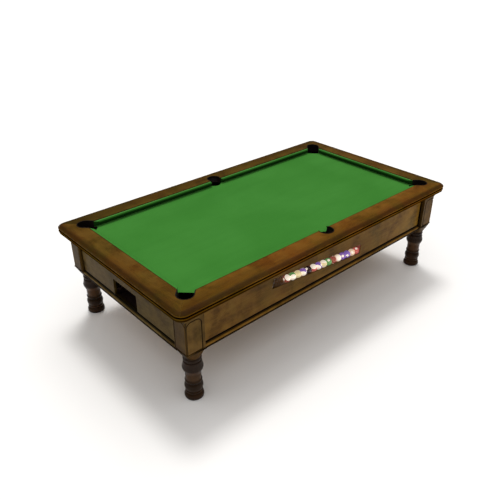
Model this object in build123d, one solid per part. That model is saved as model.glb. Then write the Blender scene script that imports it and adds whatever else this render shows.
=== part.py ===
from build123d import *
import math
import os

os.makedirs("parts", exist_ok=True)

# ---------------------------------------------------------------------------
# Six-pocket pool table with ball-return cabinet and ball display window.
# Millimetres. Origin: centre of the footprint on the floor.
# +X along the table's length, +Y across it (away from the ball window), +Z up.
# The ball window is in the front (-Y) panel, the return opening in the left
# (-X) end panel. "Side" parts run along X, "end" parts along Y.
# An inset is measured inwards from the outside of the rails.
# ---------------------------------------------------------------------------

# ---- overall ----
LENGTH = 2880.0                 # outside of the rails
WIDTH = 1586.0
RAIL_TOP = 800.0                # floor to rail top
HALF_L, HALF_W = LENGTH / 2, WIDTH / 2
SIDES = (-1, 1)
CORNERS = {"back_right": (1, 1), "back_left": (-1, 1),
           "front_right": (1, -1), "front_left": (-1, -1)}

# ---- bed and slate ----
BED_Z = RAIL_TOP - 45.0         # top of the cloth
CLOTH_T = 1.0
SLATE_T = 25.0
SLATE_TOP = BED_Z - CLOTH_T
SLATE_BOT = SLATE_TOP - SLATE_T
SLATE_HALF_X = HALF_L - 116.0
SLATE_HALF_Y = HALF_W - 112.0
SLATE_JOINT_X = 443.0

# ---- pockets ----
CORNER_PX, CORNER_PY = 1275.0, 630.0
MID_PY = 657.0
POCKETS = {
    "front_left": (-CORNER_PX, -CORNER_PY), "front_middle": (0.0, -MID_PY),
    "front_right": (CORNER_PX, -CORNER_PY), "back_left": (-CORNER_PX, CORNER_PY),
    "back_middle": (0.0, MID_PY), "back_right": (CORNER_PX, CORNER_PY),
}

# ---- cabinet ----
SKIRT_Z = RAIL_TOP - 68.0       # lower edge of the rails
PANEL_T = 19.0
PANEL_TOP = SKIRT_Z - 1.0
PANEL_INSET_X, PANEL_INSET_Y = 95.0, 87.0       # outer faces of end and side panels
PANEL_OUT_X, PANEL_OUT_Y = HALF_L - PANEL_INSET_X, HALF_W - PANEL_INSET_Y
PANEL_IN_X, PANEL_IN_Y = PANEL_OUT_X - PANEL_T, PANEL_OUT_Y - PANEL_T
CAB_BOT = 388.0
POST_OUT_X, POST_OUT_Y = HALF_L - 73.0, HALF_W - 54.0   # corner post's outer faces
POST_WX, POST_WY = 149.0, 128.0                 # along the side, along the end
POST_IN_X, POST_IN_Y = POST_OUT_X - POST_WX, POST_OUT_Y - POST_WY
POST_FACE_BOT = 430.0
PLINTH_BOT = 348.0
LEG_X, LEG_Y = 1276.0, 663.0

# ---- slate bearers, inboard of the pockets ----
BEARER_T = 40.0
BEARER_OUT_Y = HALF_W - 231.0
BEARER_IN_Y = BEARER_OUT_Y - BEARER_T
BEARER_BOT = SLATE_BOT - 80.0

# ---- ball display and release gate ----
BALL_D = 57.15
BALL_R = BALL_D / 2
TILT = 5.69                     # degrees, the display trough falls towards +X
LAST_X, LAST_Z = 384.0, 477.6   # centre of the lowest ball
GATE_X = LAST_X + BALL_R + 0.7  # gate's face beside the lowest ball
ROD_X, ROD_Z = GATE_X + 8.0, 530.0


# ---- helpers ----
def block(x0, x1, y0, y1, z0, z1):
    return Pos((x0 + x1) / 2, (y0 + y1) / 2, (z0 + z1) / 2) * Box(
        abs(x1 - x0), abs(y1 - y0), abs(z1 - z0))


def upright(x, y, z0, z1, radius):
    return Pos(x, y, (z0 + z1) / 2) * Cylinder(radius, z1 - z0)


def rod_y(x, y0, y1, z, radius):
    return Pos(x, (y0 + y1) / 2, z) * Rot(90, 0, 0) * Cylinder(radius, y1 - y0)


def prism(points, z0, z1):
    """Vertical prism on a plan polygon."""
    return extrude(Pos(0, 0, z0) * make_face(Polyline(*points, close=True)), z1 - z0)


def strip_x(profile, x0, x1):
    """(y, z) profile extruded along X."""
    outline = Polyline(*[(x0, y, z) for y, z in profile], close=True)
    return extrude(make_face(outline), amount=x1 - x0, dir=(1, 0, 0))


def strip_y(profile, y0, y1):
    """(x, z) profile extruded along Y."""
    outline = Polyline(*[(x, y0, z) for x, z in profile], close=True)
    return extrude(make_face(outline), amount=y1 - y0, dir=(0, 1, 0))


def turned(profile, x=0.0, y=0.0):
    """(r, z) profile turned about a vertical axis at x, y."""
    face = make_face(Polyline(*[(r, 0, z) for r, z in profile], close=True))
    return Pos(x, y, 0) * revolve(face, Axis.Z, 360)


def fuse(*shapes):
    out = shapes[0]
    for shape in shapes[1:]:
        out = out + shape
    return out


def flipped(shape, flip_x, flip_y):
    """The shape mirrored end for end and/or front to back."""
    if flip_x:
        shape = mirror(shape, Plane.YZ)
    if flip_y:
        shape = mirror(shape, Plane.XZ)
    return shape


def sign(value):
    return (value > 0) - (value < 0)


def corner_frame(px, py):
    """Frame at a corner pocket with its +X towards the bed, on the diagonal."""
    return Pos(px, py, 0) * Rot(0, 0, math.degrees(math.atan2(-sign(py), -sign(px))))


def save(name, *shapes):
    solids = [solid for shape in shapes for solid in shape.solids()]
    out = solids[0] if len(solids) == 1 else Compound(children=solids)
    out.label = name
    export_step(out, f"parts/{name}.step")


# ---------------------------------------------------------------------------
# Rails: flat capping board with a moulded outer edge, mitred at the corners.
# ---------------------------------------------------------------------------
RAIL_W = 162.0                  # width of the wooden rail
CORNER_R = 68.0                 # plan radius of the rail corners
SKIRT_INSET_X, SKIRT_INSET_Y = 94.0, 86.0       # skirt's inner faces
RAIL_HOLE_R = 58.5
MITRE_GAP = 0.15                # half of the hairline gap at the mitres
MITRE_REACH = 300.0             # how far in the mitre cuts run

# Moulded edge: sloped shoulder, fillet bead, quirk, lower bead.
# (distance outwards, reaching EDGE_OUT at the outside; drop below the rail top)
EDGE_OUT = 48.0
EDGE = [
    (10.0, 0.0), (16.0, 0.8), (23.0, 2.8), (30.0, 5.8), (36.0, 9.2), (41.0, 12.6),
    (44.0, 15.0), (44.2, 16.6), (46.6, 17.4), (48.0, 20.0), (48.0, 24.5), (47.0, 28.0),
    (44.6, 30.2), (41.0, 31.2), (39.2, 32.4), (38.6, 35.0), (39.2, 37.6), (41.4, 38.6),
    (45.0, 39.4), (47.2, 41.8), (48.0, 45.0), (47.2, 48.6), (45.0, 51.0), (43.4, 52.0),
    (43.0, 54.0), (43.0, 62.0), (42.2, 66.0), (40.0, 68.0),
]

# Bolts come up through the slate into the rails.
BOLT_INSET = 137.0
bolt_xy = [(x, s * (HALF_W - BOLT_INSET)) for x in (-1060, -700, -340, 340, 700, 1060)
           for s in SIDES]
bolt_xy += [(s * (HALF_L - BOLT_INSET), y) for y in (-400, 0, 400) for s in SIDES]


def rail_ring():
    """All four rails in one, before pockets and mitres."""
    # profile measured outwards from the corner centres
    profile = [(0.0, RAIL_TOP)]
    profile += [(out + CORNER_R - EDGE_OUT, RAIL_TOP - drop) for out, drop in EDGE]
    profile += [(0.0, SKIRT_Z)]
    cx, cy = HALF_L - CORNER_R, HALF_W - CORNER_R
    edges = [strip_x([(s * (cy + r), z) for r, z in profile], -cx, cx) for s in SIDES]
    edges += [strip_y([(s * (cx + r), z) for r, z in profile], -cy, cy) for s in SIDES]
    for sx in SIDES:
        for sy in SIDES:
            quarter = block(sx * cx, sx * (HALF_L + 5), sy * cy, sy * (HALF_W + 5), 600, 900)
            edges.append(turned(profile, sx * cx, sy * cy) & quarter)
    board_x, board_y = HALF_L - RAIL_W, HALF_W - RAIL_W
    board = block(-cx, cx, -cy, cy, BED_Z, RAIL_TOP) - block(
        -board_x, board_x, -board_y, board_y, BED_Z - 1, RAIL_TOP + 1)
    skirt_x, skirt_y = HALF_L - SKIRT_INSET_X, HALF_W - SKIRT_INSET_Y
    skirt = block(-cx, cx, -cy, cy, SKIRT_Z, BED_Z) - block(
        -skirt_x, skirt_x, -skirt_y, skirt_y, SKIRT_Z - 1, BED_Z + 1)
    return fuse(board, skirt, *edges)


def cut_rails():
    """Rail ring with pocket holes, open towards the bed, and bolt holes."""
    ring = rail_ring()
    for px, py in POCKETS.values():
        ring -= upright(px, py, SKIRT_Z - 5, RAIL_TOP + 5, RAIL_HOLE_R)
        if px:
            ring -= corner_frame(px, py) * block(
                0, 90, -RAIL_HOLE_R, RAIL_HOLE_R, RAIL_TOP - 50, RAIL_TOP + 10)
        else:
            half = RAIL_HOLE_R - 5
            ring -= block(-half, half, py, py - sign(py) * 60, BED_Z - 1, RAIL_TOP + 5)
    for x, y in bolt_xy:
        ring -= upright(x, y, BED_Z - 30, RAIL_TOP - 14, 5.1)
    return ring


def mitre_plans():
    """Plan wedge that each rail keeps of the ring."""
    gap = MITRE_GAP
    out_x, out_y = HALF_L + 20, HALF_W + 20
    in_x, in_y = HALF_L - MITRE_REACH, HALF_W - MITRE_REACH
    plans = {}
    for name, s in (("front", -1), ("back", 1)):
        plans[name] = [(-out_x + gap, s * out_y), (out_x - gap, s * out_y),
                       (in_x - gap, s * in_y), (-in_x + gap, s * in_y)]
    for name, s in (("left", -1), ("right", 1)):
        plans[name] = [(s * out_x, -out_y + gap), (s * in_x, -in_y + gap),
                       (s * in_x, in_y - gap), (s * out_x, out_y - gap)]
    return plans


ring = cut_rails()
for name, plan in mitre_plans().items():
    save("rail_" + name, ring & prism(plan, SKIRT_Z - 5, RAIL_TOP + 5))

save("rail_bolts", *[fuse(upright(x, y, SLATE_BOT - 6, SLATE_BOT, 9.0),
                          upright(x, y, SLATE_BOT, RAIL_TOP - 16, 5.0))
                     for x, y in bolt_xy])

# ---------------------------------------------------------------------------
# Slate in three pieces, screwed to the bearers, under one sheet of cloth
# ---------------------------------------------------------------------------
SLATE_HOLE_R = 60.0
MOUTH = 83.0            # corner pocket centre to the slate edge, along the diagonal
MOUTH_HALF = 54.5
JOINT_GAP = 0.3         # each slate stops this short of the joint line
HEAD_DEPTH = 6.0        # counterbore for the screw heads

screw_xy = [(x, s * (BEARER_OUT_Y - BEARER_T / 2)) for s in SIDES
            for x in (-1180, -880, -560, -320, 0, 320, 560, 880, 1180)]


def bed_layer(x0, x1, z0, z1):
    """Sheet of the bed from x0 to x1 with the pockets and rail bolts cut out."""
    sheet = block(x0, x1, -SLATE_HALF_Y, SLATE_HALF_Y, z0, z1)
    for px, py in POCKETS.values():
        sheet -= upright(px, py, z0 - 1, z1 + 1, SLATE_HOLE_R)
        if px:
            sheet -= block(px, sign(px) * HALF_L, py, sign(py) * HALF_W, z0 - 1, z1 + 1)
            sheet -= corner_frame(px, py) * block(
                0, MOUTH, -MOUTH_HALF, MOUTH_HALF, z0 - 1, z1 + 1)
    for x, y in bolt_xy:
        if x0 < x < x1:
            sheet -= upright(x, y, z0 - 1, z1 + 1, 5.1)
    return sheet


def slate(x0, x1):
    piece = bed_layer(x0, x1, SLATE_BOT, SLATE_TOP)
    for x, y in screw_xy:
        if x0 < x < x1:
            piece -= upright(x, y, SLATE_BOT - 1, SLATE_TOP + 1, 4.1)
            piece -= upright(x, y, SLATE_TOP - HEAD_DEPTH, SLATE_TOP + 1, 8.1)
    return piece


save("slate_left", slate(-SLATE_HALF_X, -SLATE_JOINT_X - JOINT_GAP))
save("slate_middle", slate(-SLATE_JOINT_X + JOINT_GAP, SLATE_JOINT_X - JOINT_GAP))
save("slate_right", slate(SLATE_JOINT_X + JOINT_GAP, SLATE_HALF_X))
save("bed_cloth", bed_layer(-SLATE_HALF_X, SLATE_HALF_X, SLATE_TOP, BED_Z))
save("slate_screws", *[
    fuse(upright(x, y, SLATE_TOP - HEAD_DEPTH, SLATE_TOP - 0.2, 8.0),
         upright(x, y, SLATE_BOT - 30, SLATE_TOP - 5, 4.0)) for x, y in screw_xy])

# ---------------------------------------------------------------------------
# Cushions: rubber core inside a cloth cover, facings cut back at the pockets
# ---------------------------------------------------------------------------
NOSE = RAIL_W + 28.0            # inset of the cushion nose
COVER_T = 1.2
CORNER_TIP = 85.0               # nose tip to the crossing of the nose lines
MID_TIP = 62.5                  # nose tip to the table's cross centre line
CORNER_BACK, MID_BACK = 36.0, 7.0       # how far the facings run back
SIDE_TIP = HALF_L - NOSE - CORNER_TIP
END_TIP = HALF_W - NOSE - CORNER_TIP


def cushion_profile(skin):
    """(inset, z) section: back, sloped top, nose, undercut, toe on the bed.

    skin is how far the outline is drawn in for the core.
    """
    top = RAIL_TOP
    toe = BED_Z + 0.3 + skin
    return [(RAIL_W, top - 2.6 - skin), (RAIL_W + 8, top - 3.2 - skin),
            (RAIL_W + 18, top - 5.2 - skin), (NOSE - 3.0 - skin, top - 7.4 - skin),
            (NOSE - 0.6 - skin, top - 8.6 - skin * 0.6), (NOSE - skin, top - 10.4),
            (NOSE - skin, top - 12.6), (NOSE - 1.2 - skin, top - 14.4 + skin * 0.4),
            (NOSE - 11 - skin, top - 26.0 + skin), (RAIL_W + 7 - skin, top - 37.0 + skin),
            (RAIL_W + 5 - skin, toe), (RAIL_W, toe)]


def facing_plan(start, end, start_back, end_back, skin):
    """(along, inset) plan between nose tips, run past back and nose to cut clean."""
    def past(p, q):
        return (p[0] + (q[0] - p[0]) * 1.3, p[1] + (q[1] - p[1]) * 1.3)

    trim = skin * 1.2
    back_start = (start - start_back + trim, RAIL_W)
    back_end = (end + end_back - trim, RAIL_W)
    nose_end = (end - trim, NOSE)
    nose_start = (start + trim, NOSE)
    return [past(nose_start, back_start), past(nose_end, back_end),
            past(back_end, nose_end), past(back_start, nose_start)]


def side_cushion(skin):
    """Front left cushion."""
    strip = strip_x([(-HALF_W + inset, z) for inset, z in cushion_profile(skin)],
                    -SIDE_TIP - CORNER_BACK - 1, -MID_TIP + MID_BACK + 1)
    plan = facing_plan(-SIDE_TIP, -MID_TIP, CORNER_BACK, MID_BACK, skin)
    return strip & prism([(x, -HALF_W + inset) for x, inset in plan],
                         BED_Z - 5, RAIL_TOP + 5)


def end_cushion(skin):
    """Right cushion."""
    reach = END_TIP + CORNER_BACK + 1
    strip = strip_y([(HALF_L - inset, z) for inset, z in cushion_profile(skin)],
                    -reach, reach)
    plan = facing_plan(-END_TIP, END_TIP, CORNER_BACK, CORNER_BACK, skin)
    return strip & prism([(HALF_L - inset, y) for y, inset in plan],
                         BED_Z - 5, RAIL_TOP + 5)


cores = []
for build, copies in (
        (side_cushion, (("front_left", False, False), ("front_right", True, False),
                        ("back_left", False, True), ("back_right", True, True))),
        (end_cushion, (("right", False, False), ("left", True, False)))):
    core = build(COVER_T)
    cover = build(0.0) - core
    for name, flip_x, flip_y in copies:
        save("cushion_" + name, flipped(cover, flip_x, flip_y))
        cores.append(flipped(core, flip_x, flip_y))
save("cushion_rubber_cores", *cores)

# ---------------------------------------------------------------------------
# Pocket liners: a moulded boot with a rolled rim, open towards the bed.
# The middle boots lean inwards.
# ---------------------------------------------------------------------------
POCKET_R = 54.0                 # clear opening at the rim
LINER_WALL = 3.5
RIM_R = 60.5
COLLAR_Z = RAIL_TOP - 12        # lower end of the straight collar
BOOT_BOT = 704.0
CORNER_BOOT_R = 45.0            # corner boot's inner radius at the slate underside
WING = 51.0                     # corner wings' reach from the pocket centre
LIP_FOOT = 41.0                 # distance at which the corner lip meets the boot

# Stations down the inside of a boot: (z, lean towards the table centre, radius)
CORNER_STATIONS = [(COLLAR_Z, 0.0, POCKET_R), (SLATE_BOT, 0.0, CORNER_BOOT_R),
                   (BOOT_BOT, 0.0, 42.5)]
MID_STATIONS = [(COLLAR_Z, 0.0, POCKET_R), (SLATE_TOP + 2, 17.0, 38.5),
                (SLATE_BOT, 18.5, 37.5), (BOOT_BOT, 26.0, 36.0)]

# (radius, z) section of the collar and rolled rim
RIM = [
    (POCKET_R, COLLAR_Z), (POCKET_R + LINER_WALL, COLLAR_Z),
    (POCKET_R + LINER_WALL, RAIL_TOP), (RIM_R - 0.6, RAIL_TOP), (RIM_R, RAIL_TOP + 0.8),
    (RIM_R - 0.9, RAIL_TOP + 1.8), (RIM_R - 3.0, RAIL_TOP + 2.2),
    (POCKET_R + 1.2, RAIL_TOP + 1.6), (POCKET_R, RAIL_TOP + 0.2),
]


def boot_cone(px, py, upper, lower, wall, overrun):
    """Cone between two stations, both ends run on along its own slope."""
    (z0, lean0, r0), (z1, lean1, r1) = upper, lower
    f = overrun / (z0 - z1)
    top_y = py - sign(py) * (lean0 - (lean1 - lean0) * f)
    bottom_y = py - sign(py) * (lean1 + (lean1 - lean0) * f)
    top_r, bottom_r = r0 - (r1 - r0) * f, r1 + (r1 - r0) * f
    return loft([Pos(px, bottom_y, z1 - overrun) * Circle(bottom_r + wall),
                 Pos(px, top_y, z0 + overrun) * Circle(top_r + wall)], ruled=True)


def throat_body(wall, side_profile):
    """Trough along the corner frame's X, cut to an (x, z) side profile."""
    top_r, low_r = POCKET_R + wall, CORNER_BOOT_R + wall
    low_z = SLATE_BOT - 12
    section = [(-top_r, RAIL_TOP + 6), (top_r, RAIL_TOP + 6), (top_r, COLLAR_Z),
               (low_r, SLATE_BOT), (low_r, low_z), (-low_r, low_z),
               (-low_r, SLATE_BOT), (-top_r, COLLAR_Z)]
    return strip_x(section, 0, 130) & strip_y(side_profile, -90, 90)


def corner_throat():
    """Two wings along the wood and a lip falling from the slate edge to the boot."""
    bed, under = BED_Z - 1.0, SLATE_BOT - 3.0
    outer = throat_body(LINER_WALL, [
        (0, RAIL_TOP), (WING, RAIL_TOP), (WING, bed), (MOUTH - 0.8, bed),
        (MOUTH - 0.8, BED_Z - 5.5), (LIP_FOOT, under), (0, under)])
    inner = throat_body(0.0, [
        (-0.5, RAIL_TOP + 5), (120, RAIL_TOP + 5), (120, bed), (MOUTH - 1.8, bed),
        (LIP_FOOT + 1.0, SLATE_BOT + 1.6), (LIP_FOOT - 6.0, SLATE_BOT - 4.0),
        (-0.5, SLATE_BOT - 4.0)])
    bore = upright(0, 0, SLATE_BOT - 6, RAIL_TOP + 6, CORNER_BOOT_R - 0.2)
    return outer - inner - bore


def liner(px, py):
    body = turned(RIM, px, py)
    stations = CORNER_STATIONS if px else MID_STATIONS
    for upper, lower in zip(stations, stations[1:]):
        body = body + (boot_cone(px, py, upper, lower, LINER_WALL, 0.0)
                       - boot_cone(px, py, upper, lower, 0.0, 1.0))
    if not px:
        return body - block(-80, 80, py - sign(py) * 30, py - sign(py) * 130,
                            BED_Z - 2, RAIL_TOP + 10)
    frame = corner_frame(px, py)
    bed_half = block(0, 200, -100, 100, SLATE_BOT, RAIL_TOP + 20)
    body = (body - frame * bed_half) + frame * corner_throat()
    for s in SIDES:
        body += frame * strip_x([(s * r, z) for r, z in RIM], 0, WING)
    return body


for name, (px, py) in POCKETS.items():
    save("pocket_liner_" + name, liner(px, py))

# ---------------------------------------------------------------------------
# Cabinet panels
# ---------------------------------------------------------------------------
RECESS = 11.0                   # shadow recess between post and panel
TONGUE_T = 10.0                 # inner layer of the panel that crosses the recess
GROOVE_Z = (426.5, 435.5)       # shadow groove along the panel
GROOVE_D = 7.0
WIN_CX, WIN_CZ = -103.0, 557.0  # centre of the window
WIN_L, WIN_H = 981.0, 78.0
PANE_SETBACK, PANE_T = 5.0, 3.5
RETURN_Y = (-142.0, 157.0)      # return opening in the left panel
RETURN_Z = (438.0, 567.0)


def side_panel(s):
    reach = POST_IN_X - RECESS
    panel = block(-reach, reach, s * PANEL_IN_Y, s * PANEL_OUT_Y, CAB_BOT + 2, PANEL_TOP)
    panel += block(-POST_IN_X + 0.2, POST_IN_X - 0.2, s * PANEL_IN_Y,
                   s * (PANEL_IN_Y + TONGUE_T), POST_FACE_BOT + 1, PANEL_TOP)
    panel -= block(-HALF_L, HALF_L, s * (PANEL_OUT_Y - GROOVE_D), s * (PANEL_OUT_Y + 5),
                   *GROOVE_Z)
    return panel


def end_panel(s):
    reach = POST_IN_Y - RECESS
    panel = block(s * PANEL_IN_X, s * PANEL_OUT_X, -reach, reach, CAB_BOT + 2, PANEL_TOP)
    panel += block(s * PANEL_IN_X, s * (PANEL_IN_X + TONGUE_T), -POST_IN_Y + 0.2,
                   POST_IN_Y - 0.2, POST_FACE_BOT + 1, PANEL_TOP)
    panel -= block(s * (PANEL_OUT_X - GROOVE_D), s * (PANEL_OUT_X + 5), -HALF_W, HALF_W,
                   *GROOVE_Z)
    return panel


window_frame = Pos(WIN_CX, 0, WIN_CZ) * Rot(0, TILT, 0)
pane_y = -PANEL_OUT_Y + PANE_SETBACK


def front_panel():
    """Front panel with the window and a wider recess behind it."""
    panel = side_panel(-1)
    panel -= window_frame * block(-WIN_L / 2, WIN_L / 2, -PANEL_OUT_Y - 5,
                                  -PANEL_IN_Y + 5, -WIN_H / 2, WIN_H / 2)
    panel -= window_frame * block(-WIN_L / 2 - 160, WIN_L / 2 + 42, pane_y,
                                  -PANEL_IN_Y + 5, -WIN_H / 2 - 16, WIN_H / 2 + 16)
    return panel


save("panel_front", front_panel())
save("window_pane", window_frame * block(-WIN_L / 2 - 14, WIN_L / 2 + 40, pane_y,
                                         pane_y + PANE_T, -WIN_H / 2 - 14, WIN_H / 2 + 14))
save("panel_back",
     side_panel(1) - rod_y(ROD_X, PANEL_IN_Y - 5, PANEL_OUT_Y + 5, ROD_Z, 7.0))
save("panel_left",
     end_panel(-1) - block(-PANEL_OUT_X - 5, -PANEL_IN_X + 5, *RETURN_Y, *RETURN_Z))
save("panel_right", end_panel(1))

# ---------------------------------------------------------------------------
# Base moulding under each panel
# ---------------------------------------------------------------------------
BASE_INSET_X, BASE_INSET_Y = 84.0, 74.0         # face of the torus, ends / sides
BASE_H = 38.0
# Fillet at the foot, quirk, torus, cove: (inset beyond the torus face, height)
BASE = [
    (1.0, 0.0), (-0.5, 1.5), (-0.5, 7.5), (0.6, 9.0), (5.0, 10.0), (5.0, 12.2),
    (1.4, 13.6), (0.0, 17.0), (0.0, 23.0), (1.4, 28.0), (4.6, 31.6), (8.0, 33.4),
    (9.0, BASE_H),
]


def base_profile(half, face_inset, back_inset, s):
    """(horizontal, z) section on side s of a cabinet of half size half."""
    points = [(back_inset, 0.0)] + [(face_inset + i, z) for i, z in BASE]
    points += [(back_inset, BASE_H)]
    return [(s * (half - inset), CAB_BOT + z) for inset, z in points]


base_x, base_y = POST_IN_X - 2.0, POST_IN_Y - 2.0
save("base_mouldings_long", *[
    strip_x(base_profile(HALF_W, BASE_INSET_Y, PANEL_INSET_Y, s), -base_x, base_x)
    for s in SIDES])
save("base_mouldings_short", *[
    strip_y(base_profile(HALF_L, BASE_INSET_X, PANEL_INSET_X, s), -base_y, base_y)
    for s in SIDES])

# ---------------------------------------------------------------------------
# Corner posts: L-section pilasters with arched fields, on a tapered plinth
# ---------------------------------------------------------------------------
POST_WALL = 30.0
PLINTH_TOP = POST_FACE_BOT - 12.0
ARCH_FOOT, ARCH_TOP = POST_FACE_BOT - 1.0, RAIL_TOP - 132.0
ARCH_R = 36.0
COVE_R = 11.0                   # hollow down the corner
LINE_W, LINE_D = 6.0, 6.0       # routed line round each arched field
LEG_BOLT_HOLE_R = 6.1


def arched_field(w0, w1, z0, z1, radius):
    """Rectangle w0..w1, z0..z1 with its two upper corners rounded in 8 chords."""
    points = [(w0, z0), (w1, z0)]
    for centre, start in ((w1 - radius, 0), (w0 + radius, 90)):
        for i in range(9):
            a = math.radians(start + 90 * i / 8)
            points.append((centre + radius * math.cos(a), z1 - radius + radius * math.sin(a)))
    return points


def routed_line(strip, face, w0, w1):
    """Line round the field w0..w1, cut into the outer face at face."""
    outer = arched_field(w0, w1 + LINE_W, ARCH_FOOT - LINE_W, ARCH_TOP + LINE_W,
                         ARCH_R + LINE_W)
    inner = arched_field(w0 + LINE_W, w1, ARCH_FOOT, ARCH_TOP, ARCH_R)
    return strip(outer, face - LINE_D, face + 1) - strip(inner, face - LINE_D, face + 1)


def corner_post():
    """Back right post."""
    x0, x1, y0, y1 = POST_IN_X, POST_OUT_X, POST_IN_Y, POST_OUT_Y
    body = block(x0, x1, y1 - POST_WALL, y1, PLINTH_TOP, PANEL_TOP)
    body += block(x1 - POST_WALL, x1, y0, y1, PLINTH_TOP, PANEL_TOP)
    # plinth: square at the top, round where the leg meets it
    body += block(x0, x1, y0, y1, PLINTH_TOP, POST_FACE_BOT)
    square = Pos((x0 + x1) / 2, (y0 + y1) / 2, PLINTH_TOP + 1) * RectangleRounded(
        POST_WX, POST_WY, 4.0)
    foot = Pos(LEG_X, LEG_Y, PLINTH_BOT) * RectangleRounded(118, 118, 57.0)
    body += loft([foot, square], ruled=True)
    # routed lines on both faces, open to the hollow at the corner
    body -= routed_line(strip_y, y1, x0 + 21.0, x1 - COVE_R)
    body -= routed_line(strip_x, x1, y0 + 5.0, y1 - COVE_R)
    body -= upright(x1, y1, ARCH_FOOT - LINE_W, ARCH_TOP + 14.0, COVE_R)
    # clear of the panels and mouldings
    body -= block(x0 - 60, x0, PANEL_IN_Y - 2, y1 + 20, CAB_BOT - 1, PLINTH_TOP)
    body -= block(PANEL_IN_X - 2, x1 + 20, y0 - 60, y0, CAB_BOT - 1, PLINTH_TOP)
    body -= upright(LEG_X, LEG_Y, PLINTH_BOT - 1, POST_FACE_BOT + 1, LEG_BOLT_HOLE_R)
    return body


# ---------------------------------------------------------------------------
# Turned legs, leg bolts and levelling feet, each built at the back right
# ---------------------------------------------------------------------------
# (radius, z), floor end first
LEG = [
    (0, 0), (60, 0), (64, 2.5), (66.6, 8), (67.2, 16), (66.4, 24), (64, 31), (60, 36.5),
    (56, 40.5), (54.2, 43.5), (54.2, 48), (56.6, 51.5), (59, 56.5), (58.8, 60.5), (56, 64),
    (55.4, 67), (57.6, 71), (61, 79), (63.4, 88), (64, 97), (63.2, 105), (61, 113),
    (57.6, 120), (54, 126), (52.8, 130.5), (53.6, 134), (57, 137), (58.8, 141.5),
    (58.8, 146), (57, 151), (54, 154), (53, 158), (53.6, 168), (54.4, 182), (54.4, 198),
    (54.8, 208), (57, 216), (61, 226), (66, 237), (69.6, 247), (71.2, 256), (71, 263),
    (68.8, 273), (66, 284), (64, 296), (63.2, 304), (61.4, 308.5), (57.8, 311),
    (56.6, 315), (57.4, 319), (60.6, 322), (62.4, 327), (62.6, 333), (61.2, 338.5),
    (58.4, 342), (57.6, PLINTH_BOT), (0, PLINTH_BOT),
]
# Levelling pad and stem: (radius, z)
LEVELLER = [
    (0, 3.0), (22, 3.0), (25, 5.0), (25, 11.0), (23, 13.0), (13, 14.0), (13, 19.0),
    (8.0, 19.0), (8.0, 85.0), (0, 85.0),
]


def leg():
    body = turned(LEG, LEG_X, LEG_Y)
    body -= upright(LEG_X, LEG_Y, -1, 22, 30.0)         # recess for the levelling pad
    body -= upright(LEG_X, LEG_Y, 21, 92, 8.05)         # stem bore
    body -= upright(LEG_X, LEG_Y, 290, PLINTH_BOT + 1, LEG_BOLT_HOLE_R)
    return body


def leg_bolt():
    """Shank, head and washer."""
    return fuse(upright(LEG_X, LEG_Y, 295, POST_FACE_BOT, 6.0),
                upright(LEG_X, LEG_Y, POST_FACE_BOT, POST_FACE_BOT + 8, 11.0),
                upright(LEG_X, LEG_Y, POST_FACE_BOT, POST_FACE_BOT + 1.6, 17.0))


def at_corners(shape):
    return {name: flipped(shape, sx < 0, sy < 0) for name, (sx, sy) in CORNERS.items()}


for prefix, shape in (("corner_post_", corner_post()), ("leg_", leg()),
                      ("levelling_foot_", turned(LEVELLER, LEG_X, LEG_Y))):
    for name, placed in at_corners(shape).items():
        save(prefix + name, placed)
save("leg_bolts", *at_corners(leg_bolt()).values())


# ---------------------------------------------------------------------------
# Frame inside the cabinet: long bearers and cross beams carry the slate
# ---------------------------------------------------------------------------
def slate_bearer(s):
    bearer = block(-PANEL_IN_X, PANEL_IN_X, s * BEARER_IN_Y, s * BEARER_OUT_Y,
                   BEARER_BOT, SLATE_BOT)
    for x, y in screw_xy:
        if y * s > 0:
            bearer -= upright(x, y, SLATE_BOT - 31, SLATE_BOT + 1, 4.1)
    return bearer


def cabinet_floor():
    """Thin floor, notched round the corner posts."""
    x, y = PANEL_IN_X - 0.2, PANEL_IN_Y - 0.2
    floor = block(-x, x, -y, y, CAB_BOT + 1, CAB_BOT + 7)
    for sx, sy in CORNERS.values():
        floor -= block(sx * (POST_IN_X - 8), sx * HALF_L, sy * (POST_IN_Y - 14),
                       sy * HALF_W, CAB_BOT - 5, CAB_BOT + 20)
    return floor


save("slate_bearers", *[slate_bearer(s) for s in SIDES])
save("cross_beams", *[
    block(x - 20, x + 20, -BEARER_IN_Y, BEARER_IN_Y, BEARER_BOT, SLATE_BOT)
    for x in (-1000, -SLATE_JOINT_X, 0, SLATE_JOINT_X, 1000)])
save("cabinet_floor", cabinet_floor())

# ---------------------------------------------------------------------------
# Ball gullies under the pockets, falling to a drop hole at DROP_X, and a cross
# gully from the back drop hole to the head of the display trough
# ---------------------------------------------------------------------------
GULLY_Y = CORNER_PY             # centre line
GULLY_END_X = 1325.0
DROP_X, DROP_Z = -700.0, 622.0
RIGHT_Z, LEFT_Z = 640.0, 634.0  # floor at the far ends
GULLY_HALF, GULLY_T = 38.0, 5.0         # half width inside, wall
GULLY_WALL_H, GULLY_STOP_H = 26.0, 24.0
CROSS_HALF = 40.0               # half width inside the cross gully
CROSS_BACK_Y, CROSS_FRONT_Y = 664.0, -629.0
CROSS_BACK_Z, CROSS_FRONT_Z = 588.0, 568.0


def gully_sections(a0, z0, a1, z1):
    """Floor and wall outlines of a sloping channel between two points."""
    floor = [(a0, z0 - GULLY_T), (a1, z1 - GULLY_T), (a1, z1), (a0, z0)]
    wall = [(a0, z0 - GULLY_T), (a1, z1 - GULLY_T),
            (a1, z1 + GULLY_WALL_H), (a0, z0 + GULLY_WALL_H)]
    return floor, wall


def channel(strip, floor, wall, centre, half):
    """U channel from its outlines, half wide inside either side of centre."""
    outer = half + GULLY_T
    return fuse(strip(floor, centre - outer, centre + outer),
                strip(wall, centre - outer, centre - half),
                strip(wall, centre + half, centre + outer))


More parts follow.
